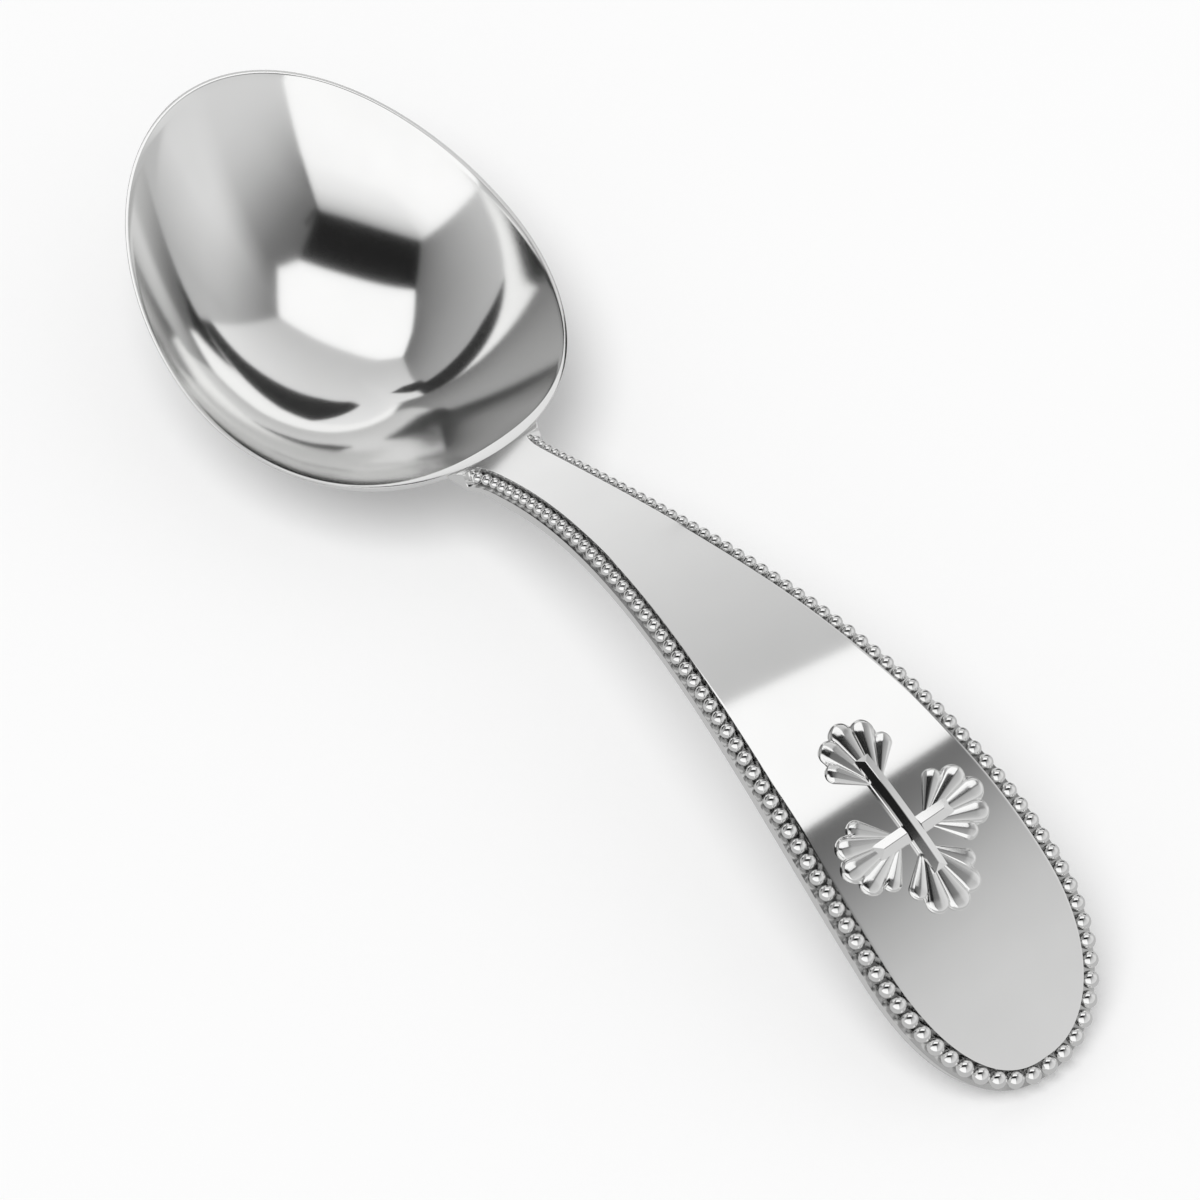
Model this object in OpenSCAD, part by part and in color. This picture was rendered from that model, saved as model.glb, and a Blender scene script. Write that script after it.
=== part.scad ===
// Baby spoon in silver: an ovoid bowl, an arched handle with a raised face and a ledge of graded beads,
// and a cross with shell-shaped ends laid on the face. X runs from the bowl to the handle's end, Z is up,
// and the spoon rests on Z = 0 with the bottom of the bowl and the end of the handle.

/* [Bowl] */
// Length of the bowl from its tip to the handle, seen from above
bowl_length = 40.3; // [36:0.1:46]
// Width of the bowl over its rim
bowl_width = 32.4; // [28:0.1:38]
// Distance from the handle to the widest place of the bowl
bowl_wide_distance = 19.1; // [17:0.1:22]
// Height of the rim at the tip of the bowl
rim_tip_height = 18.3; // [16:0.1:21]
// Distance from the handle to the point that draws the rim down
rim_sag_distance = 13.6; // [11:0.1:17]
// Height of the point that draws the rim down
rim_sag_height = 6; // [5:0.1:7]
// Fullness towards the bowl's tip: at 0 the section is a parabola, above 0 it is steeper at the rim
tip_fullness = 0.7; // [0.4:0.05:0.9]
// Fullness towards the bowl's sides
side_fullness = 0.45; // [0.3:0.05:0.7]
// Fullness of the inside towards the handle: below 0 it rises early and leaves the heel thick
heel_fullness = -0.3; // [-0.35:0.05:0.3]
// Fullness of the outside towards the handle
heel_back_fullness = 0.45; // [0.3:0.05:0.7]
// Thickness of the bowl at its rim
rim_wall = 0.45; // [0.4:0.05:0.8]
// Thickness of the bowl at its bottom
base_wall = 0.65; // [0.55:0.05:1.2]
// Extra width of the rim where it meets the handle
heel_land = 0.8; // [0.4:0.05:1.2]

/* [Handle] */
// Length along the face from the bowl to the crown of the arch
crown_distance = 31.7; // [28:0.1:36]
// Length along the face from the crown of the arch to the end
tip_length = 41.7; // [38:0.1:45]
// Radius of the bend between the bowl and the crown
neck_bend_radius = 57.2; // [50:0.1:70]
// Radius of the bend between the crown and the end
tip_bend_radius = 47.9; // [44:0.1:56]
// Width at the narrowest place
neck_width = 6.4; // [5.6:0.1:8]
// Length along the face from the bowl to the narrowest place
neck_distance = 5.4; // [4:0.1:8]
// How far each side flares out where the handle meets the bowl
neck_flare = 1.2; // [0.6:0.05:1.6]
// Width at the widest place
handle_width = 18.9; // [16:0.1:21]
// Length along the face from the bowl to the widest place
handle_wide_distance = 58.9; // [55:0.1:62]
// Squareness of the rounded end: 2 is an ellipse
tip_power = 2.15; // [2:0.05:2.6]
// Thickness of the plate under the beads
edge_thickness = 0.9; // [0.7:0.05:1.3]
// Thickness of the plate where the ledge starts
neck_edge_thickness = 0.4; // [0.3:0.05:0.7]
// Swell of the back at the neck
neck_swell = 1.6; // [1:0.05:2]
// Swell of the back at the widest place
back_swell = 0.3; // [0.1:0.05:0.6]
// Height of the face over the ledge of the beads
face_rise = 1.1; // [0.9:0.05:1.4]

/* [Beads] */
// Diameter of the beads by the bowl
bead_neck_diameter = 0.95; // [0.8:0.01:1.1]
// Diameter of the bead at the handle's end
bead_tip_diameter = 1.47; // [1.2:0.01:1.7]
// Space between one bead and the next
bead_space = 0.06; // [0.04:0.01:0.15]
// Rim of the ledge outside the beads
ledge_lip = 0.1; // [0.05:0.01:0.3]
// Rim of the ledge outside the last bead, at the handle's end
tip_lip = 0.3; // [0.1:0.01:0.5]
// Length along the face from the bowl to the start of the ledge
ledge_start_distance = 1; // [1:0.1:2]

/* [Cross] */
// Length along the face from the bowl to the middle of the cross
cross_distance = 51.8; // [49:0.1:54]
// Reach of the upright from the middle towards the bowl
upright_top_reach = 6.45; // [5.5:0.05:8]
// Reach of the upright from the middle towards the handle's end
upright_bottom_reach = 3.5; // [3:0.05:4.5]
// Width of the upright
upright_width = 1.3; // [1.1:0.05:1.6]
// Height of the upright's ridge over the face
upright_height = 0.72; // [0.65:0.01:0.9]
// Height of the upright's sides, under its sloped top
upright_side_height = 0.5; // [0.45:0.01:0.6]
// Reach of each arm from the middle
arm_reach = 3.6; // [3:0.05:4.5]
// Width of an arm
arm_width = 1.45; // [1.2:0.05:1.7]
// Height of an arm's ridge over the face
arm_height = 0.5; // [0.4:0.01:0.55]
// Height of an arm's sides, under its sloped top
arm_side_height = 0.27; // [0.2:0.01:0.35]
// Slope of the hipped ends of the bars, in degrees
hip_slope = 20; // [16:1:40]
// Distance from the middle to the far edge of the top fan
fan_top_reach = 9.7; // [9:0.05:11]
// Distance from the middle to the far edge of the bottom fan
fan_bottom_reach = 6.95; // [6.5:0.05:8]
// Distance from the middle to the far edge of a side fan
fan_side_reach = 6.8; // [6.4:0.05:7.4]
// Length of a fan from its root to its far edge
fan_length = 5.7; // [5:0.05:6.2]
// Number of petals in a fan
petal_count = 5; // [3:2:7]
// Angle from the middle petal to the outermost one
petal_spread = 41; // [36:1:46]
// Half the angle of a petal, which overlaps its neighbours
petal_half_angle = 13; // [11:0.5:15]
// Slope of a petal's flanks, in degrees
petal_slope = 29; // [22:1:35]

/* [Fits] */
// Clearance between the handle and the bowl, measured upright
joint_gap = 0.08; // [0.06:0.01:0.3]
// Clearance under and beside a bead
bead_gap = 0.04; // [0.02:0.01:0.1]
// Clearance under and between the pieces of the cross
cross_gap = 0.03; // [0.02:0.01:0.1]

/* [Hidden] */

// Facets of the round forms
$fn = 48;
bowl_sides = 96;
bowl_rings = 14;
neck_stations = 44;
tip_stations = 26;
seat_steps = 30;
// Facets of a whole turn at the radius of the handle's bend
bend_facets = 360;

// Half width left at the very end of the handle, and run of the wall that closes the ledge
tip_half_width = 0.15;
ledge_end_length = 0.15;
// Radius of the first ring of the bowl, as a share
bowl_first_share = 0.04;
// How suddenly the flare of the neck, the land of the heel and the lip at the handle's end set in
flare_power = 4;
land_power = 10;
lip_power = 12;
// Places of the points across the face and the back of the handle
across_shares = [1, 0.75, 0.45, 0.15, -0.15, -0.45, -0.75, -1];
// Sizes of the rings that close the handle's end over the bowl, as shares of its section
cap_shares = [0.05, 0.35, 0.65, 0.85, 1];

degree = 180 / PI;
blank_length = crown_distance + tip_length;
neck_angle = crown_distance / neck_bend_radius * degree;
tip_angle = tip_length / tip_bend_radius * degree;

// The ledge at the crown is as high as lets the end of the plate touch Z = 0
crown_height = tip_bend_radius * (1 - cos(tip_angle)) + edge_thickness * cos(tip_angle);

// The bead at the end reaches furthest, and X = 0 is half way between it and the bowl's tip
tip_bead_inset = tip_lip + bead_tip_diameter / 2;
tip_bead_angle = (tip_length - tip_bead_inset) / tip_bend_radius * degree;
tip_bead_radius = tip_bend_radius + bead_gap + bead_tip_diameter / 2;
crown_reach = neck_bend_radius * sin(neck_angle);
handle_reach = crown_reach + tip_bead_radius * sin(tip_bead_angle) + bead_tip_diameter / 2;
joint_x = (bowl_length - handle_reach) / 2;
crown_x = joint_x + crown_reach;

// Place of a point of the flat handle, [run, distance across, height over the ledge], once it is bent
function bend(p) =
    let (past_crown = p[0] - crown_distance)
    let (radius = past_crown < 0 ? neck_bend_radius : tip_bend_radius)
    let (angle = past_crown / radius * degree)
    [crown_x + (radius + p[2]) * sin(angle), p[1], crown_height - radius + (radius + p[2]) * cos(angle)];

// The rim of the bowl meets the handle at the height of the face
face_radius = neck_bend_radius + face_rise;
heel_height = crown_height - neck_bend_radius + sqrt(pow(face_radius, 2) - pow(crown_reach, 2));

// Height of the rim, a parabola drawn from the bowl's tip over the sag point to the heel
function rim_height(back) =
    let (a = bowl_length - 2 * rim_sag_distance)
    let (b = 2 * (rim_sag_distance - bowl_length))
    let (t = (-b - sqrt(b * b - 4 * a * (bowl_length - back))) / (2 * a))
    rim_tip_height * pow(1 - t, 2) + 2 * rim_sag_height * t * (1 - t) + heel_height * t * t;

// Fullness in a direction: ahead is 1 towards the handle, 0 across and -1 towards the tip
function fullness(ahead, heel) = side_fullness + (heel - tip_fullness) / 2 * ahead
    + ((heel + tip_fullness) / 2 - side_fullness) * ahead * ahead;

// Share of the depth at a share of the radius: 1 in the middle, 0 at the rim
function depth_share(radius_share, full) =
    let (inside = 1 - radius_share * radius_share)
    (1 + full) * inside / (1 + full * inside);

// The bowl is as deep as lets its outside just touch Z = 0
bowl_drop = min([for (i = [1:bowl_sides - 1])
    let (back = bowl_length * i / bowl_sides)
    let (past = back - bowl_wide_distance)
    let (reach = past < 0 ? bowl_wide_distance : bowl_length - bowl_wide_distance)
    rim_height(back) / depth_share(past / reach, fullness(-sign(past), heel_back_fullness))]);

// Height of the outside of the bowl at a place
function outside_height(x, y) =
    let (past = joint_x - x - bowl_wide_distance)
    let (reach = past < 0 ? bowl_wide_distance : bowl_length - bowl_wide_distance)
    let (share = norm([past / reach, 2 * y / bowl_width]))
    let (full = fullness(share == 0 ? 0 : -past / reach / share, heel_back_fullness))
    rim_height(joint_x - x) - bowl_drop * depth_share(share, full);

// One ring of the bowl, on its outside or, drawn in by the wall and the land, on its inside
function bowl_ring(radius_share, wall, land, lift, heel) =
    [for (i = [0:bowl_sides - 1])
        let (turn = 360 * (i + 0.5) / bowl_sides)
        let (reach = (cos(turn) > 0 ? bowl_wide_distance : bowl_length - bowl_wide_distance) - wall)
        let (ahead = reach * cos(turn) - land * pow(max(cos(turn), 0), land_power))
        let (x = joint_x - bowl_wide_distance + radius_share * ahead)
        let (y = radius_share * (bowl_width / 2 - wall) * sin(turn))
        let (depth = (bowl_drop - lift) * depth_share(radius_share, fullness(cos(turn), heel)))
        [x, y, rim_height(joint_x - x) - depth]];

// Closed skin over rings of points that mirror each other across Y = 0
module skin(rings) {
    count = len(rings[0]);
    last = (len(rings) - 1) * count;
    walls = [for (start = [0:count:last - count], i = [0:count - 1])
        let (a = start + i)
        let (b = start + (i + 1) % count)
        each [[a, a + count, b + count], [a, b + count, b]]];
    strips = [for (i = [0:count / 2 - 2])
        let (j = count - 1 - i)
        each [[i, i + 1, j - 1, j], [last + j, last + j - 1, last + i + 1, last + i]]];
    polyhedron([for (ring = rings) each ring], concat(walls, strips));
}

module bowl() {
    shares = [for (i = [0:bowl_rings]) bowl_first_share + (1 - bowl_first_share) * i / bowl_rings];
    outside = [for (share = shares) bowl_ring(share, 0, 0, 0, heel_back_fullness)];
    inside = [for (i = [bowl_rings:-1:0])
        bowl_ring(shares[i], rim_wall, heel_land, base_wall, heel_fullness)];
    color("silver") skin(concat(outside, inside));
}

// Edge of the flat handle from the bowl to the end, as [run, half width]
function ease(t) = t * t * (3 - 2 * t);
function side_half_width(run) = neck_width / 2 + (run < neck_distance
    ? neck_flare * pow(1 - run / neck_distance, flare_power)
    : (handle_width - neck_width) / 2
        * ease((run - neck_distance) / (handle_wide_distance - neck_distance)));
tip_turn = acos(pow(2 * tip_half_width / handle_width, tip_power / 2));
edge = concat(
    [for (i = [0:neck_stations - 1])
        let (run = ledge_start_distance + (handle_wide_distance - ledge_start_distance) * i / neck_stations)
        [run, side_half_width(run)]],
    [for (i = [0:tip_stations])
        let (turn = tip_turn * i / tip_stations)
        [handle_wide_distance + (blank_length - handle_wide_distance) * pow(sin(turn), 2 / tip_power),
         handle_width / 2 * pow(cos(turn), 2 / tip_power)]]);
edge_last = len(edge) - 1;

// Share of the edge's length that lies before each of its points
function lengths(points) = [for (i = 0, sum = 0; i < len(points);
    i = i + 1, sum = sum + (i < len(points) ? norm(points[i] - points[i - 1]) : 0)) sum];
edge_lengths = lengths(edge);
edge_shares = [for (length = edge_lengths) length / edge_lengths[edge_last]];
function bead_diameter(share) = bead_neck_diameter + (bead_tip_diameter - bead_neck_diameter) * share;

// Unit vector from each point of the edge towards the middle of the handle, square across at the start
inward = [for (i = [0:edge_last])
    let (along = edge[min(i + 1, edge_last)] - edge[max(i - 1, 0)])
    (i == 0 ? [0, -1] : i == edge_last ? [-1, 0] : [along[1], -along[0]] / norm(along))];

// Lines of the bead centres and of the wall inside the beads, drawn in from the edge
function lip(share) = ledge_lip + (tip_lip - ledge_lip) * pow(share, lip_power);
bead_line = [for (i = [0:edge_last])
    edge[i] + inward[i] * (lip(edge_shares[i]) + bead_diameter(edge_shares[i]) / 2)];
face_line = [for (i = [0:edge_last])
    edge[i] + inward[i] * (lip(edge_shares[i]) + bead_diameter(edge_shares[i]) + bead_gap)];

// Thickness of the plate at its edge, thinner by the bowl
function plate(run) =
    let (share = min((run - ledge_start_distance) / (neck_distance - ledge_start_distance), 1))
    neck_edge_thickness + (edge_thickness - neck_edge_thickness) * ease(max(share, 0));

// How far the back swells out in the middle
function swell(run, half_width) =
    (neck_swell + (back_swell - neck_swell) * ease(min(run / handle_wide_distance, 1)))
    * pow(min(2 * half_width / neck_width, 1), 2);

// One ring of the flat handle, over the face and under the back: outer and inner are the [run, half width]
// of its edge and its face, and the heights are those of its lower edge, its ledge and the foot of its face
function handle_ring(outer, inner, low, ledge, foot) = concat(
    [[inner[0], inner[1], foot]],
    [for (share = across_shares) [inner[0], share * inner[1], face_rise]],
    [[inner[0], -inner[1], foot], [outer[0], -outer[1], ledge]],
    [for (share = across_shares)
        [outer[0], -share * outer[1], low - swell(outer[0], outer[1]) * (1 - share * share)]],
    [[outer[0], outer[1], ledge]]);

// Run at which a lengthwise line of the handle meets the outside of the bowl
function seat_run(across, height, low, high, steps) =
    let (middle = (low + high) / 2)
    let (p = bend([middle, across, height]))
    steps == 0 ? middle
    : p[2] > outside_height(p[0], p[1]) - joint_gap
        ? seat_run(across, height, middle, high, steps - 1)
        : seat_run(across, height, low, middle, steps - 1);
function seated(p) =
    [seat_run(p[1], p[2], -neck_distance, ledge_start_distance - ledge_end_length, seat_steps), p[1], p[2]];

// The first rings lie on the bowl, as thick at the edge as its rim, and the next one closes the ledge
module handle() {
    joint = [0, side_half_width(0)];
    joint_low = face_rise - rim_wall;
    joint_ring = handle_ring(joint, joint, joint_low, joint_low + rim_wall / 3, face_rise - rim_wall / 3);
    joint_middle = (face_rise + joint_low - swell(0, joint[1])) / 2;
    end_distance = ledge_start_distance - ledge_end_length;
    end = [end_distance, side_half_width(end_distance)];
    rings = concat(
        [for (share = cap_shares) [for (p = joint_ring)
            seated([0, share * p[1], joint_middle + share * (p[2] - joint_middle)])]],
        [handle_ring(end, end, -plate(end_distance), 0, face_rise / 2)],
        [for (i = [0:edge_last]) handle_ring(edge[i], face_line[i], -plate(edge[i][0]), 0, 0)]);
    color("gainsboro") skin([for (ring = rings) [for (p = ring) bend(p)]]);
}

// The beads grow evenly with the length of the row, so their places follow a geometric series
row_lengths = lengths(bead_line);
row_length = row_lengths[edge_last];
row_run_table = [for (i = [0:edge_last]) [row_lengths[i], bead_line[i][0]]];
row_side_table = [for (i = [0:edge_last]) [row_lengths[i], bead_line[i][1]]];
bead_growth = (bead_tip_diameter + bead_space) / (bead_neck_diameter + bead_space);
bead_steps = floor(row_length * ln(bead_growth) / (bead_tip_diameter - bead_neck_diameter));

module bead_border() {
    first = bead_neck_diameter / 2 + bead_gap;
    color("whitesmoke") for (i = [0:bead_steps], side = i == bead_steps ? [0] : [-1, 1]) {
        share = (pow(bead_growth, i / bead_steps) - 1) / (bead_growth - 1);
        along = first + (row_length - first) * share;
        diameter = bead_diameter(share);
        run = lookup(along, row_run_table);
        across = side * lookup(along, row_side_table);
        translate(bend([run, across, bead_gap + diameter / 2])) sphere(d = diameter);
    }
}

// Frame on the handle's face: X along the handle, Z out of the face
module on_face(run) {
    angle = (run - crown_distance) / tip_bend_radius * degree;
    translate(bend([run, 0, face_rise])) rotate([0, angle, 0]) children();
}

// Section of a ridged bar, grown by a margin all round
module ridge(width, height, side_height, margin) {
    half = width / 2 + margin;
    slope = (height - side_height) / width * 2;
    rise = margin * sqrt(1 + slope * slope);
    eaves = side_height + rise - margin * slope;
    polygon([[-half, 0], [half, 0], [half, eaves], [0, height + rise], [-half, eaves]]);
}

// The upright, bent round the same axis as the face
module bent_bar(margin, foot) {
    past_crown = cross_distance - crown_distance;
    top_angle = (past_crown - upright_top_reach - margin) / tip_bend_radius * degree;
    bottom_angle = (past_crown + upright_bottom_reach + margin) / tip_bend_radius * degree;
    translate([crown_x, 0, crown_height - tip_bend_radius])
        rotate([90, 0, 0])
        rotate([0, 0, 90 - bottom_angle])
        rotate_extrude(angle = bottom_angle - top_angle, $fn = bend_facets)
        translate([tip_bend_radius + face_rise + foot, 0])
        rotate([0, 0, -90])
        ridge(upright_width, upright_height, upright_side_height, margin);
}

// Block that cuts the hipped end of a bar above its side at X = 0, falling towards +X
module hip_cut(width, height, side_height) {
    reach = width + height;
    translate([0, 0, side_height])
        rotate([0, hip_slope - 90, 0])
        translate([0, -reach, -reach])
        cube([reach, 2 * reach, 3 * reach]);
}

module cross_upright() {
    color("lightgray") difference() {
        bent_bar(0, cross_gap);
        on_face(cross_distance + upright_bottom_reach)
            hip_cut(upright_width, upright_height, upright_side_height);
        on_face(cross_distance - upright_top_reach)
            rotate([0, 0, 180])
            hip_cut(upright_width, upright_height, upright_side_height);
    }
}

// An arm that lies along +Y of the face, with its section grown by a margin
module straight_arm(margin) {
    rotate([90, 0, 180])
        linear_extrude(arm_reach + margin)
        ridge(arm_width, arm_height, arm_side_height, margin);
}

// side is 1 for the arm on the +Y side and -1 for the other
module cross_arm(side) {
    color("lightgray") difference() {
        on_face(cross_distance) rotate([0, 0, 90 * side - 90]) translate([0, 0, cross_gap]) straight_arm(0);
        bent_bar(cross_gap, 0);
        on_face(cross_distance)
            rotate([0, 0, 90 * side])
            translate([arm_reach, 0])
            hip_cut(arm_width, arm_height, arm_side_height);
    }
}

module cross_arm_left() { cross_arm(-1); }
module cross_arm_right() { cross_arm(1); }

// A fan with its root at the origin, spread round +X: each petal is a pleat that widens and ends in a cone
module fan() {
    translate([0, 0, cross_gap]) for (i = [0:petal_count - 1]) {
        turn = petal_spread * (2 * i / (petal_count - 1) - 1);
        length = fan_length * cos(turn) / (1 + tan(petal_half_angle));
        half_width = length * tan(petal_half_angle);
        height = half_width * tan(petal_slope);
        rotate([0, 0, turn]) {
            polyhedron([[0, 0, 0], [length, -half_width, 0], [length, half_width, 0], [length, 0, height]],
                [[0, 1, 2], [0, 2, 3], [0, 3, 1], [1, 3, 2]]);
            translate([length, 0]) cylinder(h = height, r1 = half_width, r2 = 0);
        }
    }
}

// A fan on the upright: reach is the distance of its far edge from the middle, along the handle
module upright_fan(reach) {
    color("whitesmoke") difference() {
        on_face(cross_distance + sign(reach) * (abs(reach) - fan_length / 2))
            rotate([0, 0, reach > 0 ? 0 : 180])
            translate([-fan_length / 2, 0])
            fan();
        bent_bar(cross_gap, 0);
    }
}

// A fan at the end of an arm: side is 1 or -1
module side_fan(side) {
    color("whitesmoke") difference() {
        on_face(cross_distance) rotate([0, 0, 90 * side]) translate([fan_side_reach - fan_length, 0]) fan();
        on_face(cross_distance) rotate([0, 0, 90 * side - 90]) straight_arm(cross_gap);
    }
}

module fan_top() { upright_fan(-fan_top_reach); }
module fan_bottom() { upright_fan(fan_bottom_reach); }
module fan_left() { side_fan(-1); }
module fan_right() { side_fan(1); }

bowl();
handle();
bead_border();
cross_upright();
cross_arm_left();
cross_arm_right();
fan_top();
fan_bottom();
fan_left();
fan_right();
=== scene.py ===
import math

import bmesh
import bpy
from mathutils import Matrix, Vector


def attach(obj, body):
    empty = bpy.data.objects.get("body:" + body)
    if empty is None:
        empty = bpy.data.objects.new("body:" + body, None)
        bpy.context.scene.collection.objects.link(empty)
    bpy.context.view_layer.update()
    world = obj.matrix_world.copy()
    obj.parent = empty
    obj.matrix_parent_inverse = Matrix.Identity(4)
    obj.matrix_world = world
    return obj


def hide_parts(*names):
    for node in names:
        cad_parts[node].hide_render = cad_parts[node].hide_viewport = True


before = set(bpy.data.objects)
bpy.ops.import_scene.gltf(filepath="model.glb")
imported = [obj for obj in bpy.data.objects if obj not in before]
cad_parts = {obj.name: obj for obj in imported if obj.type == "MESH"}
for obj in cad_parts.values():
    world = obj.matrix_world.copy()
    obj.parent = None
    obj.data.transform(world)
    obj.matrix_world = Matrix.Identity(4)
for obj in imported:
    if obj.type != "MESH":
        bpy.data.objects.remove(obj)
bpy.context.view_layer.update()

# The bowl
# Sheet silver raised on a stake into an egg-shaped hollow, deepest towards the handle and rising to its tip.
# It is planished and polished bright inside and out, and its rim is filed to an even width and eased.
mm = 0.001
joint_x = -13.536 * mm
bowl_length = 40.3 * mm
bowl_width = 32.4 * mm
bowl_wide_distance = 19.1 * mm
rim_tip_height = 18.3 * mm
rim_sag_distance = 13.6 * mm
rim_sag_height = 6 * mm
rim_heel_height = 10.587 * mm
bowl_drop = 10.1485 * mm
tip_fullness = 0.7
side_fullness = 0.45
heel_fullness = -0.3
heel_back_fullness = 0.45
rim_wall = 0.32 * mm
rim_easing = 0.07 * mm
base_wall = 0.65 * mm
heel_land = 0.8 * mm
land_power = 10
bowl_turns = 224
bowl_rings = 64
silver_colour = (0.94, 0.94, 0.935, 1)
silver_shade = (0.9, 0.9, 0.895, 1)
cloud_scale = 90
cloud_haze = 0.02
cloud_shares = (0.3, 0.7)
buffing_scale = 9000
buffing_stretch = (0.12, 1, 1)
easing_angle = math.radians(28)
weld_distance = 0.001 * mm


class Wire:
    """One value in a node tree. Arithmetic with it adds Math nodes, and node() adds any other node."""

    def __init__(self, tree, socket=None):
        self.tree = tree
        self.socket = socket

    def node(self, kind, settings=None, inputs=None, output=0):
        made = self.tree.nodes.new(kind)
        for name, value in (settings or {}).items():
            if name == "stops":
                for _ in range(len(value) - 2):
                    made.color_ramp.elements.new(0.5)
                for stop, (place, colour) in zip(made.color_ramp.elements, value):
                    stop.position = place
                    stop.color = colour
            else:
                setattr(made, name, value)
        for name, value in (inputs or {}).items():
            if isinstance(value, Wire):
                self.tree.links.new(value.socket, made.inputs[name])
            else:
                made.inputs[name].default_value = value
        return Wire(self.tree, made.outputs[output])

    def other(self, output):
        return Wire(self.tree, self.socket.node.outputs[output])

    def math(self, operation, *values):
        inputs = dict(enumerate((self,) + values))
        return self.node("ShaderNodeMath", {"operation": operation}, inputs)

    def swapped(self, operation, first):
        return self.node("ShaderNodeMath", {"operation": operation}, {0: first, 1: self})

    def __add__(self, value): return self.math("ADD", value)
    def __sub__(self, value): return self.math("SUBTRACT", value)
    def __mul__(self, value): return self.math("MULTIPLY", value)
    def __truediv__(self, value): return self.math("DIVIDE", value)
    def __pow__(self, value): return self.math("POWER", value)
    def __gt__(self, value): return self.math("GREATER_THAN", value)
    def __rsub__(self, value): return self.swapped("SUBTRACT", value)
    def __rtruediv__(self, value): return self.swapped("DIVIDE", value)
    __radd__ = __add__
    __rmul__ = __mul__


def polished_silver(name, haze, lines, painted_shade_factor=1.0):
    """Polished silver. Haze is the least roughness, lines the buffing's strength, and the last factor dims
    its colour: painted shade.
    """
    material = bpy.data.materials.new(name)
    material.use_nodes = True
    tree = material.node_tree
    tree.nodes.clear()
    place = Wire(tree).node("ShaderNodeTexCoord", output="Object")
    cloud = place.node("ShaderNodeTexNoise", {"noise_dimensions": "3D"},
                       {"Vector": place, "Scale": cloud_scale, "Detail": 3, "Roughness": 0.6})
    along = place.node("ShaderNodeMapping", inputs={"Vector": place, "Scale": buffing_stretch})
    buffing = place.node("ShaderNodeTexNoise", {"noise_dimensions": "3D"},
                         {"Vector": along, "Scale": buffing_scale, "Detail": 2, "Roughness": 0.5})
    stops = [(share, [painted_shade_factor * part for part in colour[:3]] + [1])
             for share, colour in zip(cloud_shares, (silver_shade, silver_colour))]
    colour = cloud.node("ShaderNodeValToRGB", {"stops": stops}, {"Fac": cloud})
    roughness = haze + cloud_haze * cloud + lines * buffing
    shader = cloud.node("ShaderNodeBsdfPrincipled", inputs={
        "Base Color": colour, "Metallic": 1.0, "Roughness": roughness})
    end = tree.nodes.new("ShaderNodeOutputMaterial")
    tree.links.new(shader.socket, end.inputs["Surface"])
    return material


def rim_height(back):
    """Height of the rim at a distance back from the handle: a parabola over the sag point."""
    a = bowl_length - 2 * rim_sag_distance
    b = 2 * (rim_sag_distance - bowl_length)
    t = (-b - (b * b - 4 * a * (bowl_length - back)) ** 0.5) / (2 * a)
    return rim_tip_height * (1 - t) * (1 - t) + 2 * rim_sag_height * t * (1 - t) + rim_heel_height * t * t


def fullness(ahead, heel):
    """Fullness of the bowl in a direction: ahead is 1 towards the handle, 0 across and -1 towards the tip."""
    return (side_fullness + (heel - tip_fullness) / 2 * ahead
            + ((heel + tip_fullness) / 2 - side_fullness) * ahead * ahead)


def depth_share(radius_share, full):
    """Share of the bowl's depth at a share of its radius: 1 in the middle and 0 at the rim."""
    inside = 1 - radius_share * radius_share
    return (1 + full) * inside / (1 + full * inside)


def new_tree(name, sizes):
    """An empty geometry tree whose inputs are the named sizes; gives the tree, a wire and the identifiers."""
    tree = bpy.data.node_groups.new(name, "GeometryNodeTree")
    tree.interface.new_socket("Geometry", in_out="INPUT", socket_type="NodeSocketGeometry")
    identifiers = {}
    for label, value in sizes.items():
        kind = "NodeSocketInt" if isinstance(value, int) else "NodeSocketFloat"
        identifiers[label] = tree.interface.new_socket(label, in_out="INPUT", socket_type=kind).identifier
    tree.interface.new_socket("Geometry", in_out="OUTPUT", socket_type="NodeSocketGeometry")
    return tree, Wire(tree).node("NodeGroupInput", output="Geometry"), identifiers


def close_tree(shape, material):
    """Ends a geometry tree: smooth, real mesh with its material."""
    real = shape.node("GeometryNodeRealizeInstances", inputs={"Geometry": shape})
    smooth = real.node("GeometryNodeSetShadeSmooth", inputs={"Geometry": real})
    clad = smooth.node("GeometryNodeSetMaterial", inputs={"Geometry": smooth, "Material": material})
    clad.tree.links.new(clad.socket, clad.tree.nodes.new("NodeGroupOutput").inputs["Geometry"])


def made_real(worked):
    """The object's evaluated mesh, with every modifier applied and removed."""
    graph = bpy.context.evaluated_depsgraph_get()
    mesh = bpy.data.meshes.new_from_object(worked.evaluated_get(graph), depsgraph=graph)
    mesh.name = worked.name
    worked.modifiers.clear()
    worked.data = mesh
    return worked


def placed(name, mesh):
    """A new object for a mesh, in the scene, at the origin."""
    made = bpy.data.objects.new(name, mesh)
    bpy.context.scene.collection.objects.link(made)
    return made


def grown(name, seed_mesh, tree, identifiers, sizes):
    """Runs a geometry tree on a seed mesh and gives the result as a plain object."""
    made = placed(name, seed_mesh)
    nodes = made.modifiers.new("Rule", "NODES")
    nodes.node_group = tree
    for label, value in sizes.items():
        nodes[identifiers[label]] = value
    return made_real(made)


def eased(made, width, segments):
    """Rounds the edges of an object a little and keeps its broad faces true."""
    bevel = made.modifiers.new("Easing", "BEVEL")
    bevel.width = width
    bevel.segments = segments
    bevel.limit_method = "ANGLE"
    bevel.angle_limit = easing_angle
    made.modifiers.new("True faces", "WEIGHTED_NORMAL")
    return made_real(made)


def finished(made, *nodes):
    """Puts a piece on the spoon's one body, in place of its solids."""
    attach(made, "root")
    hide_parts(*nodes)


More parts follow.
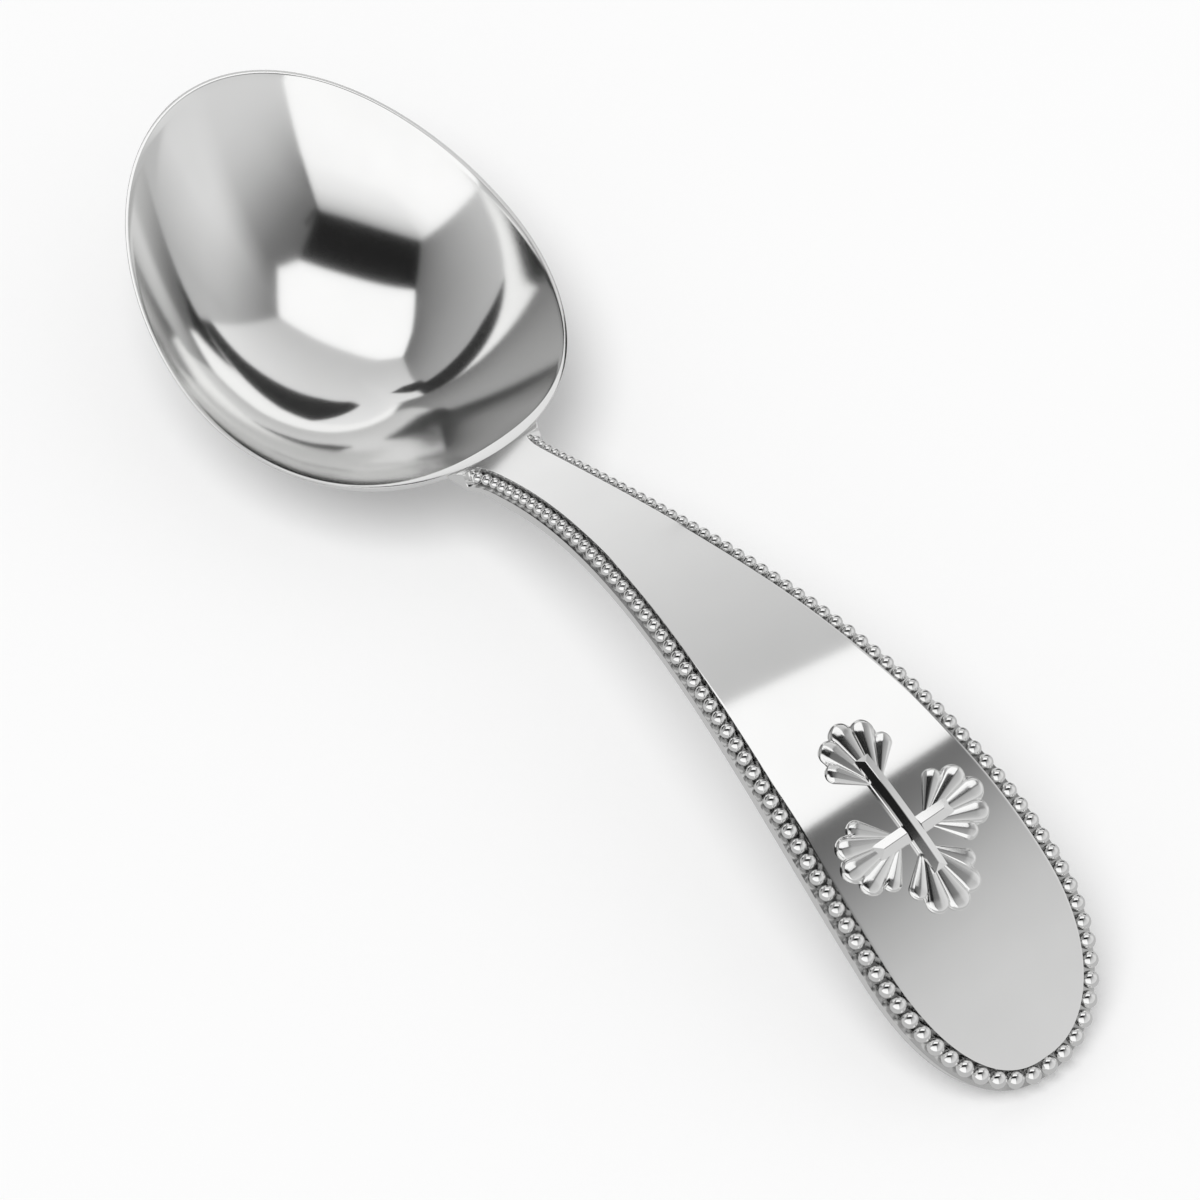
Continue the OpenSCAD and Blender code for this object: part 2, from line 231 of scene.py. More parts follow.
bowl_sizes = {"Turns": bowl_turns, "Rings": bowl_rings, "Wall": rim_wall, "Base wall": base_wall,
              "Land": heel_land, "Drop": bowl_drop, "Width": bowl_width, "Widest": bowl_wide_distance,
              "Length": bowl_length, "Heel fullness": heel_fullness, "Back fullness": heel_back_fullness}
bowl_tree, bowl_in, bowl_ids = new_tree("Raised bowl", bowl_sizes)
turns, rings = bowl_in.other("Turns"), bowl_in.other("Rings")
blank = bowl_in.node("GeometryNodeMeshGrid", inputs={
    "Size X": 1.0, "Size Y": 1.0, "Vertices X": turns + 1, "Vertices Y": rings * 2}, output="Mesh")
across = blank.node("ShaderNodeSeparateXYZ", inputs={0: blank.node("GeometryNodeInputPosition")})
turn = (across + 0.5) * (2 * math.pi)
row = ((across.other("Y") + 0.5) * (rings * 2 - 1)).math("ROUND")
inner = row > rings - 0.5
step = inner * (rings * 2 - 1 - row) + (1 - inner) * row
share = step / (rings - 1)
wall = inner * bowl_in.other("Wall")
towards = turn.math("COSINE")
front = towards > 0
widest = bowl_in.other("Widest")
reach = front * widest + (1 - front) * (bowl_in.other("Length") - widest) - wall
land = inner * bowl_in.other("Land") * towards.math("MAXIMUM", 0.0) ** land_power
x = joint_x - widest + share * (reach * towards - land)
y = share * (bowl_in.other("Width") / 2 - wall) * turn.math("SINE")
heel = inner * bowl_in.other("Heel fullness") + (1 - inner) * bowl_in.other("Back fullness")
full_depth = bowl_in.other("Drop") - inner * bowl_in.other("Base wall")
depth = full_depth * depth_share(share, fullness(towards, heel))
z = rim_height(joint_x - x) - depth
raised = blank.node("GeometryNodeSetPosition", inputs={
    "Geometry": blank, "Position": x.node("ShaderNodeCombineXYZ", inputs={"X": x, "Y": y, "Z": z})})
closed = raised.node("GeometryNodeMergeByDistance", inputs={"Geometry": raised, "Distance": weld_distance})
bowl_silver = polished_silver("Bowl silver", haze=0.085, lines=0.012)
close_tree(closed, bowl_silver)
bowl = grown("bowl_raised", bpy.data.meshes.new("bowl_seed"), bowl_tree, bowl_ids, bowl_sizes)
eased(bowl, rim_easing, segments=3)
finished(bowl, "bowl")

# The handle
# One forging: a plate that arches up from the bowl and down to its round end, with a raised flat face and a
# ledge round it for the beads. It is filed to shape, bent, seated on the bowl's heel and soldered there.
crown_x = 16.566 * mm
crown_height = 17.6134 * mm
crown_distance = 31.7 * mm
tip_length = 41.7 * mm
neck_bend_radius = 57.2 * mm
tip_bend_radius = 47.9 * mm
neck_width = 6.4 * mm
neck_distance = 5.4 * mm
neck_flare = 1.2 * mm
neck_lift = 0.3 * mm
neck_lift_distance = 6 * mm
flare_power = 4
handle_width = 18.9 * mm
handle_wide_distance = 58.9 * mm
tip_power = 2.15
edge_thickness = 0.9 * mm
neck_edge_thickness = 0.4 * mm
neck_swell = 1.6 * mm
back_swell = 0.3 * mm
face_rise = 1.1 * mm
ledge_start_distance = 1.0 * mm
ledge_end_length = 0.15 * mm
ledge_lip = 0.1 * mm
tip_lip = 0.3 * mm
lip_power = 12
bead_neck_diameter = 0.95 * mm
bead_tip_diameter = 1.47 * mm
bead_gap = 0.04 * mm
joint_gap = 0.03 * mm
joint_wall = 0.45 * mm
tip_half_width = 0.15 * mm
handle_easing = 0.07 * mm
# Painted shade: the silver of the ledge and the recess walls beside the face is dimmed to this share.
groove_painted_shade_factor = 0.6
halving_steps = 40
neck_stations = 150
tip_stations = 64
across_shares = [1, 0.975, 0.85, 0.65, 0.4, 0.14, -0.14, -0.4, -0.65, -0.85, -0.975, -1]
cap_shares = [0.05, 0.2, 0.4, 0.6, 0.8, 0.9, 1]
blank_length = crown_distance + tip_length


def bend(run, across, height):
    """Place of a point of the flat handle once it is bent and its neck lifted; height starts at the ledge."""
    past = run - crown_distance
    radius = neck_bend_radius if past < 0 else tip_bend_radius
    angle = past / radius
    lift = neck_lift * max(1 - run / neck_lift_distance, 0) ** 2
    return Vector((crown_x + (radius + height) * math.sin(angle), across,
                   crown_height - radius + (radius + height) * math.cos(angle) + lift))


def outside_height(x, y):
    """Height of the outside of the bowl at a place."""
    past = joint_x - x - bowl_wide_distance
    reach = bowl_wide_distance if past < 0 else bowl_length - bowl_wide_distance
    share = math.hypot(past / reach, 2 * y / bowl_width)
    full = fullness(-past / reach / share, heel_back_fullness)
    return rim_height(joint_x - x) - bowl_drop * depth_share(share, full)


def ease(t):
    """A smooth step from 0 to 1."""
    t = min(max(t, 0), 1)
    return t * t * (3 - 2 * t)


def side_half_width(run):
    """Half the handle's width at a run from the neck, up to its widest place."""
    if run < neck_distance:
        return neck_width / 2 + neck_flare * (1 - run / neck_distance) ** flare_power
    widening = ease((run - neck_distance) / (handle_wide_distance - neck_distance))
    return neck_width / 2 + (handle_width - neck_width) / 2 * widening


def tip_point(turn):
    """A point of the handle's round end, as run and across; turn leads from its widest place to its tip."""
    return Vector((
        handle_wide_distance + (blank_length - handle_wide_distance) * math.sin(turn) ** (2 / tip_power),
        handle_width / 2 * math.cos(turn) ** (2 / tip_power)))


def lengths(points):
    """Length of a line of points up to each of them."""
    sums = [0.0]
    for before, after in zip(points, points[1:]):
        sums.append(sums[-1] + (after - before).length)
    return sums


def plate(run):
    """Thickness of the plate under the ledge, at a run from the neck."""
    thickening = ease((run - ledge_start_distance) / (neck_distance - ledge_start_distance))
    return neck_edge_thickness + (edge_thickness - neck_edge_thickness) * thickening


def swell(run, half_width):
    """How far the handle's back swells out in the middle, at a run from the neck."""
    middle = neck_swell + (back_swell - neck_swell) * ease(run / handle_wide_distance)
    return middle * min(2 * half_width / neck_width, 1) ** 2


def bead_diameter(share):
    """Diameter of a bead at a share of the row, from the neck to the tip."""
    return bead_neck_diameter + (bead_tip_diameter - bead_neck_diameter) * share


def lip(share):
    """Width of the ledge outside the beads, at a share of the row."""
    return ledge_lip + (tip_lip - ledge_lip) * share ** lip_power


side_runs = [ledge_start_distance + (handle_wide_distance - ledge_start_distance) * i / neck_stations
             for i in range(neck_stations)]
tip_turn = math.acos((2 * tip_half_width / handle_width) ** (tip_power / 2))
edge = [Vector((run, side_half_width(run))) for run in side_runs]
edge += [tip_point(tip_turn * i / tip_stations) for i in range(tip_stations + 1)]
edge_shares = [length / lengths(edge)[-1] for length in lengths(edge)]
inward = [Vector((0, -1))]
for before, after in zip(edge, edge[2:]):
    along = after - before
    inward.append(Vector((along.y, -along.x)).normalized())
inward.append(Vector((-1, 0)))
bead_line = [p + n * (lip(s) + bead_diameter(s) / 2) for p, n, s in zip(edge, inward, edge_shares)]
face_line = [p + n * (lip(s) + bead_diameter(s) + bead_gap) for p, n, s in zip(edge, inward, edge_shares)]


def handle_ring(outer, inner, low, ledge, foot):
    """One ring of the flat handle, over the face and back under it, as (run, across, height)."""
    over = [(inner.x, share * inner.y, face_rise) for share in across_shares]
    under = [(outer.x, -share * outer.y, low - swell(outer.x, outer.y) * (1 - share * share))
             for share in across_shares]
    return [(inner.x, inner.y, foot), *over, (inner.x, -inner.y, foot),
            (outer.x, -outer.y, ledge), *under, (outer.x, outer.y, ledge)]


def seated(across, height):
    """The point where a lengthwise line of the handle meets the outside of the bowl."""
    low, high = -neck_distance, ledge_start_distance - ledge_end_length
    for _ in range(halving_steps):
        middle = (low + high) / 2
        p = bend(middle, across, height)
        if p.z > outside_height(p.x, p.y) - joint_gap:
            low = middle
        else:
            high = middle
    return (high, across, height)


def skin(name, rings, material):
    """A closed mesh over rings of points, with its ends closed by fans."""
    count = len(rings[0])
    faces = []
    for start in range(0, (len(rings) - 1) * count, count):
        for i in range(count):
            j = (i + 1) % count
            faces.append((start + i, start + count + i, start + count + j, start + j))
    last = (len(rings) - 1) * count
    faces.append(tuple(range(count)))
    faces.append(tuple(range(last + count - 1, last - 1, -1)))
    mesh = bpy.data.meshes.new(name)
    mesh.from_pydata([p for ring in rings for p in ring], [], faces)
    shell = bmesh.new()
    shell.from_mesh(mesh)
    bmesh.ops.recalc_face_normals(shell, faces=shell.faces)
    shell.to_mesh(mesh)
    shell.free()
    mesh.shade_smooth()
    mesh.materials.append(material)
    return placed(name, mesh)


joint = Vector((0, side_half_width(0)))
joint_low = face_rise - joint_wall
joint_step = joint_wall / 3
joint_ring = handle_ring(joint, joint, joint_low, joint_low + joint_step, face_rise - joint_step)
joint_middle = (face_rise + joint_low - swell(0, joint.y)) / 2
ledge_end = ledge_start_distance - ledge_end_length
end = Vector((ledge_end, side_half_width(ledge_end)))
handle_rings = [[seated(cap * across, joint_middle + cap * (height - joint_middle))
                 for _, across, height in joint_ring] for cap in cap_shares]
handle_rings.append(handle_ring(end, end, -plate(ledge_end), 0, face_rise / 2))
handle_rings += [handle_ring(outer, inner, -plate(outer.x), 0, 0) for outer, inner in zip(edge, face_line)]
handle_silver = polished_silver("Handle silver", haze=0.075, lines=0.015)
handle = skin("handle_forged", [[bend(*p) for p in ring] for ring in handle_rings], handle_silver)
# Painted shade: the ledge floor and the recess walls beside the raised face get this dimmed silver.
groove_silver = polished_silver("Groove silver", haze=0.15, lines=0.05, painted_shade_factor=groove_painted_shade_factor)
handle.data.materials.append(groove_silver)
over_count = len(across_shares)
groove_sides = (0, over_count, over_count + 1, 2 * over_count + 3)
for index, side in enumerate(handle.data.polygons):
    ring_number, side_number = divmod(index, len(joint_ring))
    if ring_number > len(cap_shares) and side_number in groove_sides:
        side.material_index = 1
eased(handle, handle_easing, segments=2)
finished(handle, "handle")

# The bead border
# Balls of fine silver, graded from small by the bowl to large at the end, set side by side along the ledge
# and soldered down, then burnished with the rest.
bead_space = 0.06 * mm
bead_segments = 24
row_half = [bend(p.x, p.y, bead_gap + bead_diameter(s) / 2) for p, s in zip(bead_line, edge_shares)]
row_half[-1].y = 0
row_points = row_half + [Vector((p.x, -p.y, p.z)) for p in reversed(row_half[:-1])]
row_mesh = bpy.data.meshes.new("bead_row")
row_mesh.from_pydata(row_points, [(i, i + 1) for i in range(len(row_points) - 1)], [])
flat_length = lengths(bead_line)[-1]
bead_growth = (bead_tip_diameter + bead_space) / (bead_neck_diameter + bead_space)
bead_steps = math.floor(flat_length * math.log(bead_growth) / (bead_tip_diameter - bead_neck_diameter))
bead_sizes = {"Steps": bead_steps, "First diameter": bead_neck_diameter, "Last diameter": bead_tip_diameter,
              "Growth": bead_growth, "Start": bead_neck_diameter / 2 + bead_gap, "Segments": bead_segments}
bead_tree, bead_in, bead_ids = new_tree("Graded beads", bead_sizes)
steps = bead_in.other("Steps")
row_curve = bead_in.node("GeometryNodeMeshToCurve", inputs={"Mesh": bead_in})
half_length = row_curve.node("GeometryNodeCurveLength", inputs={"Curve": row_curve}) / 2
places = bead_in.node("GeometryNodePoints", inputs={"Count": steps * 2 + 1})
signed = places.node("GeometryNodeInputIndex") - steps
series = (bead_in.other("Growth").math("POWER", (steps - signed.math("ABSOLUTE")) / steps) - 1)
bead_share = series / (bead_in.other("Growth") - 1)
start = bead_in.other("Start")
from_end = start + (half_length - start) * bead_share
along_row = half_length + signed.math("SIGN") * (half_length - from_end)
on_row = row_curve.node("GeometryNodeSampleCurve", {"mode": "LENGTH"},
                        {"Curves": row_curve, "Length": along_row}, output="Position")
strewn = places.node("GeometryNodeSetPosition", inputs={"Geometry": places, "Position": on_row})
first_diameter = bead_in.other("First diameter")
diameter = first_diameter + (bead_in.other("Last diameter") - first_diameter) * bead_share
segments = bead_in.other("Segments")
ball = bead_in.node("GeometryNodeMeshUVSphere", inputs={
    "Radius": 0.5, "Segments": segments, "Rings": segments / 2}, output="Mesh")
beads = strewn.node("GeometryNodeInstanceOnPoints", inputs={
    "Points": strewn, "Instance": ball,
    "Scale": diameter.node("ShaderNodeCombineXYZ", inputs={"X": diameter, "Y": diameter, "Z": diameter})})
bead_silver = polished_silver("Bead silver", haze=0.06, lines=0.01)
close_tree(beads, bead_silver)
bead_border = grown("bead_border_row", row_mesh, bead_tree, bead_ids, bead_sizes)
finished(bead_border, "bead_border")

# The upright of the cross
# A ridged bar of silver, drawn through a five-cornered plate, bent to the curve of the face and soldered on
# it. Both ends are filed to a slope.
cross_distance = 51.8 * mm
upright_top_reach = 6.45 * mm
upright_bottom_reach = 3.5 * mm
upright_width = 1.3 * mm
upright_height = 0.66 * mm
upright_side_height = 0.5 * mm
hip_slope = math.radians(20)
cross_gap = 0.03 * mm
bar_crest = 0.06 * mm
bar_fillet = 0.05 * mm
bar_sharp_angle = math.radians(14)
upright_stations = 24
cross_silver = polished_silver("Cross silver", haze=0.07, lines=0.015)


def ridge(width, height, side_height):
    """Section of a ridged bar as across and height: solder fillet, side, sloped top, crest and back."""
    half = width / 2
    flank = half - bar_fillet
    side = [(half, 0), (flank, bar_fillet), (flank, side_height), (bar_crest / 2, height)]
    return side + [(-across, high) for across, high in reversed(side)]


def ridge_end(width, side_height):
    """Section at the end of a bar, where the sloped end starts from the top of its side."""
    half = width / 2
    flank = half - bar_fillet
    side = [(half, 0), (flank, bar_fillet), (flank, side_height - bar_fillet / 4),
            (half - 2 * bar_fillet, side_height)]
    return side + [(-across, high) for across, high in reversed(side)]


upright_start = cross_distance - upright_top_reach
upright_end = cross_distance + upright_bottom_reach
upright_hip = (upright_height - upright_side_height) / math.tan(hip_slope)
ridge_start, ridge_stop = upright_start + upright_hip, upright_end - upright_hip
upright_sections = [(upright_start, ridge_end(upright_width, upright_side_height))]
for i in range(upright_stations + 1):
    run = ridge_start + (ridge_stop - ridge_start) * i / upright_stations
    upright_sections.append((run, ridge(upright_width, upright_height, upright_side_height)))
upright_sections.append((upright_end, ridge_end(upright_width, upright_side_height)))
upright_rings = [[bend(run, across, face_rise + cross_gap + high) for across, high in section]
                 for run, section in upright_sections]
upright = skin("cross_upright_bar", upright_rings, cross_silver)
upright.data.set_sharp_from_angle(angle=bar_sharp_angle)
finished(upright, "cross_upright")

# The arms of the cross
# Two short lengths of a lower ridged bar, butted against the sides of the upright and soldered there.
# Their outer ends are filed to the same slope.
arm_reach = 3.6 * mm
arm_width = 1.45 * mm
arm_height = 0.5 * mm
arm_side_height = 0.27 * mm
quarter_turn = math.radians(90)


def on_face(run, turn, x, y, z):
    """A point x ahead, y across and z over the face, in a frame at a place on it, turned round its normal."""
    angle = (run - crown_distance) / tip_bend_radius
    frame_turn = Matrix.Rotation(angle, 4, "Y") @ Matrix.Rotation(turn, 4, "Z")
    return bend(run, 0, face_rise) + frame_turn @ Vector((x, y, z))


def cross_arm(name, turn):
    """An arm along the turned X axis, from the upright's flank to its sloped end."""
    start = upright_width / 2 + cross_gap
    hip = arm_reach - (arm_height - arm_side_height) / math.tan(hip_slope)
    section = ridge(arm_width, arm_height, arm_side_height)
    rings = [[(x, across, high) for across, high in section] for x in (start, hip)]
    rings.append([(arm_reach, across, high) for across, high in ridge_end(arm_width, arm_side_height)])
    bent_rings = [[on_face(cross_distance, turn, x, -y, z + cross_gap) for x, y, z in ring] for ring in rings]
    arm = skin(name, bent_rings, cross_silver)
    arm.data.set_sharp_from_angle(angle=bar_sharp_angle)
    return arm


finished(cross_arm("cross_arm_left_bar", -quarter_turn), "cross_arm_left")
finished(cross_arm("cross_arm_right_bar", quarter_turn), "cross_arm_right")

# The fans
# Four small shells of five pleated petals, stamped from sheet in a die and filled with solder, one at each
# end of the cross. Their roots are tucked under the bars.
fan_top_reach = 9.7 * mm
fan_bottom_reach = 6.95 * mm
fan_side_reach = 6.8 * mm
fan_length = 5.7 * mm
fan_root = 0.7 * mm
fan_edge = 0.03 * mm
petal_count = 5
petal_spread = math.radians(41)
petal_half_angle = math.radians(13)
petal_slope = math.radians(29)
petal_flank_slope = math.radians(8.5)
petal_crest = 0.08 * mm
petal_valley_share = 0.12
petal_valley_power = 8
petal_rounding = 8
petal_flank_shares = [0.06, 0.14, 0.35, 0.6, 0.75, 0.86, 0.94]
petal_edge_shares = [0.98]
petal_length_steps = 26
fan_sharp_angle = math.radians(20)
fan_silver = polished_silver("Fan silver", haze=0.12, lines=0.02)
petal_turns = [petal_spread * (2 * i / (petal_count - 1) - 1) for i in range(petal_count)]
petal_gap_angle = petal_spread / (petal_count - 1)


def petal_height(r, turn):
    """Height of the pleats at a distance and a direction from the fan's root."""
    highest = -1
    for petal_turn in petal_turns:
        length = fan_length * math.cos(petal_turn) / (1 + math.tan(petal_half_angle))
        along, aside = r * math.cos(turn - petal_turn), r * math.sin(turn - petal_turn)
        past, along = max(along - length, 0), min(max(along, fan_edge), length)
        half = along * math.tan(petal_half_angle)
        crest = half * math.tan(petal_slope)
        valley = half * math.tan(petal_gap_angle) / math.tan(petal_half_angle)
        fall = math.hypot(aside, petal_crest * along / fan_length) * math.tan(petal_flank_slope)
        fall += petal_valley_share * half * min(abs(aside) / valley, 1) ** petal_valley_power
        share = min(math.hypot(aside, past) / half, 1)
        highest = max(highest, (crest - fall) * (1 - share ** petal_rounding) ** 0.5)
    return highest


def fan_turns():
    """Directions of the mesh lines, close together at the crests and with one in every valley."""
    turns = []
    for petal_turn in petal_turns:
        for side in (-1, 1):
            outermost = abs(petal_turn + side * petal_gap_angle) > petal_spread
            span = petal_half_angle if outermost else petal_gap_angle
            shares = petal_flank_shares + (petal_edge_shares if outermost else [1])
            if side < 0:
                shares = shares[::-1] if outermost else petal_flank_shares[::-1]
            turns += [petal_turn + side * span * share for share in ([0] if side > 0 else []) + shares]
    return turns


def fan(name, run, turn, root):
    """A fan bent to the face, whose root lies a distance along the turned X axis from a place on it."""
    rings = []
    for petal_turn in fan_turns():
        low, high = fan_root, fan_length
        for _ in range(halving_steps):
            middle = (low + high) / 2
            if petal_height(middle, petal_turn) > fan_edge or middle < fan_length / 2:
                low = middle
            else:
                high = middle
        reach = [fan_root + (low - fan_root) * math.sin(math.pi / 2 * i / petal_length_steps)
                 for i in range(petal_length_steps + 1)]
        profile = [(r, max(petal_height(r, petal_turn), fan_edge)) for r in reach]
        ring = []
        for r, height in profile + [(reach[-1], 0), (reach[0], 0)]:
            ahead, aside = root + r * math.cos(petal_turn), r * math.sin(petal_turn)
            flat = Matrix.Rotation(turn, 2) @ Vector((ahead, aside))
            ring.append(bend(run + flat.x, flat.y, face_rise + cross_gap + height))
        rings.append(ring)
    shell = skin(name, rings, fan_silver)
    shell.data.set_sharp_from_angle(angle=fan_sharp_angle)
    return shell


half_fan = fan_length / 2
finished(fan("fan_top_shell", cross_distance - fan_top_reach + half_fan, math.pi, -half_fan), "fan_top")
finished(fan("fan_bottom_shell", cross_distance + fan_bottom_reach - half_fan, 0, -half_fan), "fan_bottom")
side_root = fan_side_reach - fan_length
finished(fan("fan_left_shell", cross_distance, -quarter_turn, side_root), "fan_left")
finished(fan("fan_right_shell", cross_distance, quarter_turn, side_root), "fan_right")

# The table and the light
# A white table under a small tent of pale cards with an opening for the camera, which the silver mirrors.
# A broad soft lamp stands high on the camera's side, a little to the left.
floor_half = 3000 * mm
floor_drop = 0.01 * mm
floor_white = 0.96
world_light = 0.6
world_seen_light = 0.95
lamp_light = 1.42
lamp_angle = math.radians(36)
lamp_heading = Vector((-0.13, 0.35, -0.93))
ceiling_height = 160 * mm
wall_foot = 6 * mm
card_light = 1.04


def pale_paper(name):
    """Matt white paper."""
    material = bpy.data.materials.new(name)
    material.use_nodes = True
    shader = material.node_tree.nodes["Principled BSDF"]
    shader.inputs["Base Color"].default_value = (floor_white, floor_white, floor_white, 1)
    shader.inputs["Roughness"].default_value = 1
    shader.inputs["Specular IOR Level"].default_value = 0
    return material


floor_mesh = bpy.data.meshes.new("floor")
floor_mesh.from_pydata([(-floor_half, -floor_half, 0), (floor_half, -floor_half, 0),
                        (floor_half, floor_half, 0), (-floor_half, floor_half, 0)], [], [(0, 1, 2, 3)])
floor_mesh.materials.append(pale_paper("Table white"))
floor = placed("floor", floor_mesh)
floor.location.z = -floor_drop


def card_glow(name, greys, fades):
    """Grey of a card by its height. Each fade leads to other greys along a heading, between two distances."""
    material = bpy.data.materials.new(name)
    material.use_nodes = True
    tree = material.node_tree
    tree.nodes.clear()
    place = Wire(tree).node("ShaderNodeTexCoord", output="Object")
    share = place.node("ShaderNodeSeparateXYZ", inputs={0: place}, output="Z") / ceiling_height

    def shade(levels):
        stops = [(at, (grey, grey, grey, 1)) for at, grey in levels]
        return share.node("ShaderNodeValToRGB", {"stops": stops}, {"Fac": share})

    tone = shade(greys)
    for heading, first, last, levels in fades:
        along = place.node("ShaderNodeVectorMath", {"operation": "DOT_PRODUCT"},
                           {0: place, 1: heading}, output="Value")
        reached = (along / mm - first) / (last - first)
        # A Mix node has its colours on sockets 6 and 7, and their mix on output 2.
        tone = tone.node("ShaderNodeMix", {"data_type": "RGBA", "clamp_factor": True},
                         {0: reached, 6: tone, 7: shade(levels)}, output=2)
    glow = tone.node("ShaderNodeEmission", inputs={"Color": tone, "Strength": card_light})
    end = tree.nodes.new("ShaderNodeOutputMaterial")
    tree.links.new(glow.socket, end.inputs["Surface"])
    return material


def card(name, corners, greys, fades=()):
    """A card that only the silver's reflections see."""
    mesh = bpy.data.meshes.new(name)
    mesh.from_pydata([Vector(corner) * mm for corner in corners], [], [tuple(range(len(corners)))])
    mesh.materials.append(card_glow(name, greys, fades))
    made = placed(name, mesh)
    made.visible_camera = False
    made.visible_diffuse = False
    made.visible_shadow = False
    made.visible_transmission = False
    made.visible_volume_scatter = False


# The tent's plan, in millimetres: the corners of its opening and its ceiling, and the feet of its walls.
top = ceiling_height / mm
foot = wall_foot / mm
opening_left, opening_far_left = (101, -26), (59, 40)
opening_right, opening_far_right = (-1, -157), (-30, -73)
ceiling_left, ceiling_back, ceiling_right = (63, 74), (23, 106), (-76, -2)
foot_near_left, foot_left, foot_back = (302, -144), (140, 40), (-25, 216)
foot_near_right, foot_right = (-90, -312), (-230, 52)
corner_card = [(100, -27, top - 0.5), (87, 8, top - 0.5), (149, -56, 118)]
shade_half = 600

# The cards' greys, each at a share of the tent's height.
white_greys = [(0, 1), (1, 1)]
opening_greys = [(0, 0.01), (1, 0.012)]
corner_greys = [(0.7, 0.35), (0.8, 0.15), (0.87, 0.04), (1, 0.02)]
left_greys = [(0, 0.68), (0.2, 0.66), (0.375, 0.63), (0.5, 0.56),
              (0.62, 0.45), (0.75, 0.3), (0.88, 0.18), (1, 0.13)]
left_far_greys = [(0, 0.68), (0.3, 0.71), (0.45, 0.71), (0.55, 0.67),
                  (0.62, 0.6), (0.75, 0.45), (0.88, 0.3), (1, 0.2)]
left_end_greys = [(0, 0.46), (0.45, 0.48), (0.62, 0.42), (0.75, 0.32), (0.88, 0.22), (1, 0.15)]
far_greys = [(0, 0.88), (0.5, 0.78), (1, 0.52)]
right_greys = [(0, 0.6), (0.1, 0.56), (0.38, 0.48), (0.54, 0.4), (0.7, 0.32), (0.85, 0.23), (1, 0.13)]
camera_greys = [(0, 1), (0.6, 1), (0.78, 0.96), (0.9, 0.8), (0.96, 0.6), (1, 0.3)]
skirting_greys = [(0, 0.03), (1, 0.03)]
shade_greys = [(0, 0.5), (1, 0.5)]
along_left_wall = (-0.781, 0.625, 0)
from_left_seam = (-0.781, 0.625, -0.54)
left_far_fades = [(from_left_seam, -84, -50, left_far_greys), (along_left_wall, 10, 80, left_end_greys)]

# The dark skirting stands before the far wall: distances along it, and shares of the tent's height.
far_heading = (0.676, 0.737)
far_foot_distance = 162
far_lean = 0.712
skirting_left = [(-21, 0.56), (-7, 0.597), (21, 0.583), (80, 0.46), (122, 0.4), (140, 0.04), (60, 0.04)]
skirting_middle = [(-41, 0.58), (-53, 0.645), (-73, 0.655), (-85, 0.52), (-60, 0.535)]
skirting_right = [(-121, 20, 97), (-112, -58, 70), (-118, -128, 40), (-150, -160, 2), (-221, 55, 2)]


def overhead(*plan):
    """Corners under the tent's ceiling, for places in its plan."""
    return [(x, y, top) for x, y in plan]


def grounded(*plan):
    """Corners at the feet of the tent's walls, for places in its plan."""
    return [(x, y, foot) for x, y in plan]


def far_place(along, share):
    """A point just in front of the far card, by its distance along it and its share of the tent's height."""
    height = share * top
    out = far_foot_distance - far_lean * (height - foot)
    ahead_x, ahead_y = far_heading
    return (ahead_x * along - ahead_y * out, ahead_y * along + ahead_x * out, height)


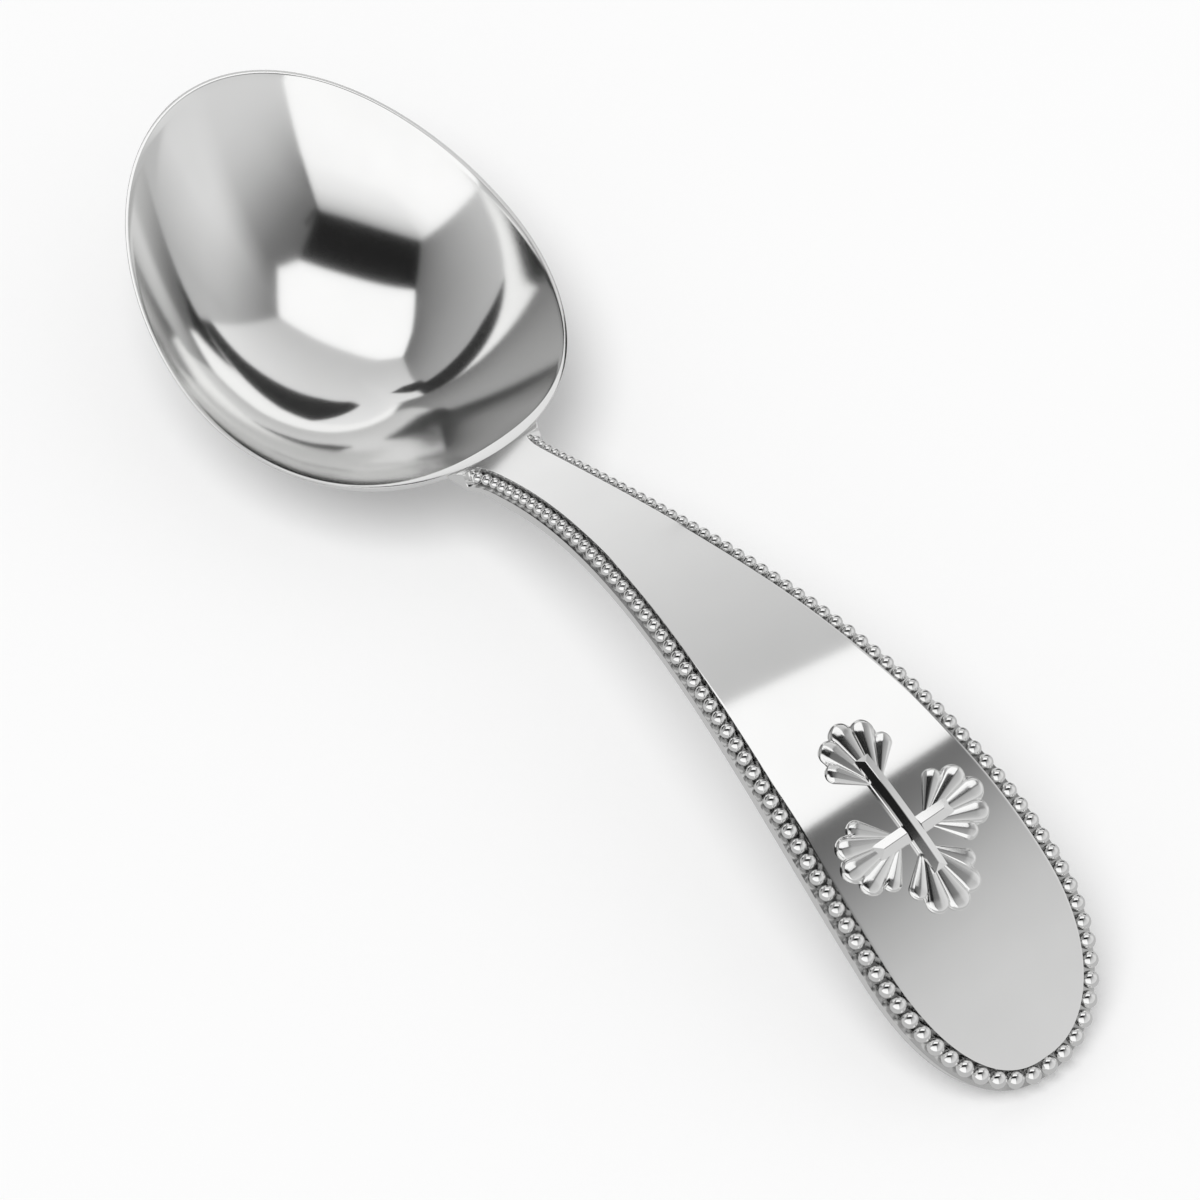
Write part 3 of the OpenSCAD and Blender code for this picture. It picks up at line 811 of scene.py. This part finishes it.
card("ceiling_card", overhead(opening_far_left, ceiling_left, ceiling_back, ceiling_right, opening_far_right),
     white_greys)
card("camera_opening", overhead(opening_left, opening_far_left, opening_far_right, opening_right),
     opening_greys)
card("opening_corner", corner_card, corner_greys)
card("left_strip", overhead(opening_left, ceiling_left, opening_far_left), left_greys)
card("left_near_card", overhead(opening_left, ceiling_left) + grounded(foot_left, foot_near_left), left_greys)
card("left_far_card", overhead(ceiling_left, ceiling_back) + grounded(foot_back, foot_left),
     left_greys, left_far_fades)
card("far_card", overhead(ceiling_back, ceiling_right) + grounded(foot_right, foot_back), far_greys)
card("right_card", overhead(ceiling_right, opening_far_right, opening_right)
     + grounded(foot_near_right, foot_right), right_greys)
card("camera_card", overhead(opening_right, opening_left) + grounded(foot_near_left, foot_near_right),
     camera_greys)
card("skirting_left", [far_place(*place) for place in skirting_left], skirting_greys)
card("skirting_middle", [far_place(*place) for place in skirting_middle], skirting_greys)
card("skirting_right", skirting_right, skirting_greys)
card("table_shade", [(-shade_half, -shade_half, 0), (shade_half, -shade_half, 0),
                     (shade_half, shade_half, 0), (-shade_half, shade_half, 0)], shade_greys)

lamp = bpy.data.lights.new("soft_lamp", "SUN")
lamp.energy = lamp_light
lamp.angle = lamp_angle
lamp_object = placed("soft_lamp", lamp)
lamp_object.rotation_euler = lamp_heading.to_track_quat("-Z", "Y").to_euler()
lamp_object.visible_glossy = False

world = bpy.data.worlds.new("studio")
world.use_nodes = True
world.node_tree.nodes.clear()
path = Wire(world.node_tree).node("ShaderNodeLightPath", output="Is Camera Ray")
seen = path.math("MAXIMUM", path.other("Is Glossy Ray")).math("MAXIMUM", path.other("Is Transmission Ray"))
air_light = world_light + (world_seen_light - world_light) * seen
air = path.node("ShaderNodeBackground", inputs={"Color": (1, 1, 1, 1), "Strength": air_light})
world_end = world.node_tree.nodes.new("ShaderNodeOutputWorld")
world.node_tree.links.new(air.socket, world_end.inputs["Surface"])
bpy.context.scene.world = world

# The camera
# It looks down on the spoon from the end of the handle, with a long lens.
camera_target = Vector((4.337, -4.139, 13.039)) * mm
camera_elevation = math.radians(53.894)
camera_azimuth = math.radians(38.947)
camera_distance = 465.19 * mm
camera_lens = 180
camera_sensor = 36
camera_data = bpy.data.cameras.new("camera")
camera_data.lens = camera_lens
camera_data.sensor_width = camera_sensor
camera = placed("camera", camera_data)
camera_back = Vector((math.cos(camera_azimuth) * math.cos(camera_elevation),
                      -math.sin(camera_azimuth) * math.cos(camera_elevation), math.sin(camera_elevation)))
camera.location = camera_target + camera_distance * camera_back
camera.rotation_euler = (-camera_back).to_track_quat("-Z", "Y").to_euler()
bpy.context.scene.camera = camera
bpy.context.scene.view_settings.view_transform = "Standard"
